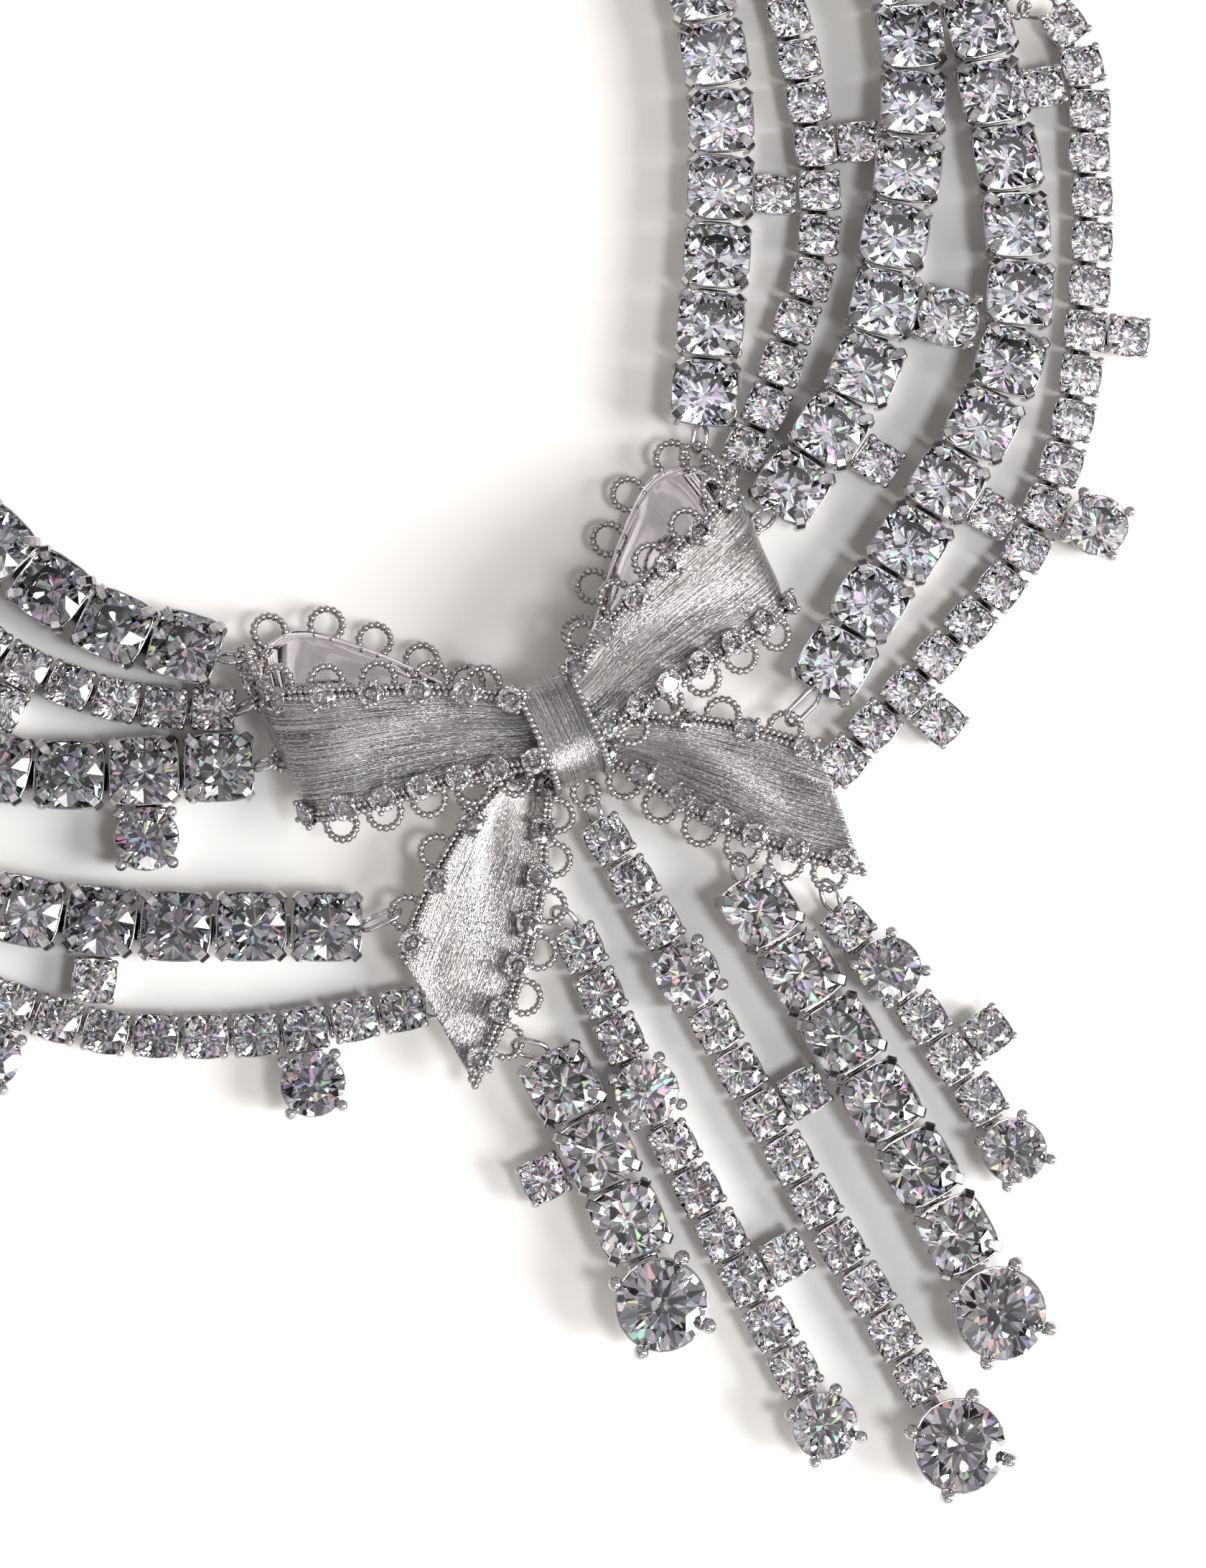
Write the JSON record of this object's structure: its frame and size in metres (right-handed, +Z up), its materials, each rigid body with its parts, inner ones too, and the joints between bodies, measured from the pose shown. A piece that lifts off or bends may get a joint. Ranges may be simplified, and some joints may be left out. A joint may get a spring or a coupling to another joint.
{
  "type": "bib necklace",
  "caption": "Bib necklace lying flat: a satin metal ribbon bow with a beaded lace edge, rows of prong-set clear stones on each side, and a fringe of stone strands below.",
  "frame": {"origin": "on the table under the middle of the necklace's box", "axes": "+Z up from the table, +Y from the bow towards the clasp at the nape, +X to the right"},
  "size_m": [0.191, 0.2476, 0.012],
  "materials": {
    "satin_silver": "rhodium-coloured metal with fine brushed lines along the ribbon",
    "polished_silver": "polished rhodium-coloured metal",
    "clear_stone": "clear faceted stones, in polished metal settings"
  },
  "bodies": {
    "root": {"bow_loop_left": "satin_silver", "bow_loop_right": "satin_silver", "bow_tail_left": "satin_silver", "bow_tail_right": "satin_silver", "bow_knot": "satin_silver", "clasp": "polished_silver", "row_1_left": "clear_stone", "row_1_right": "clear_stone", "row_2_left": "clear_stone", "row_2_right": "clear_stone", "row_3_left": "clear_stone", "row_3_right": "clear_stone", "row_4_left": "clear_stone", "row_4_right": "clear_stone", "row_5_left": "clear_stone", "row_5_right": "clear_stone", "fringe_1": "clear_stone", "fringe_2": "clear_stone", "fringe_3": "clear_stone", "fringe_4": "clear_stone", "fringe_5": "clear_stone"}
  },
  "joints": []
}
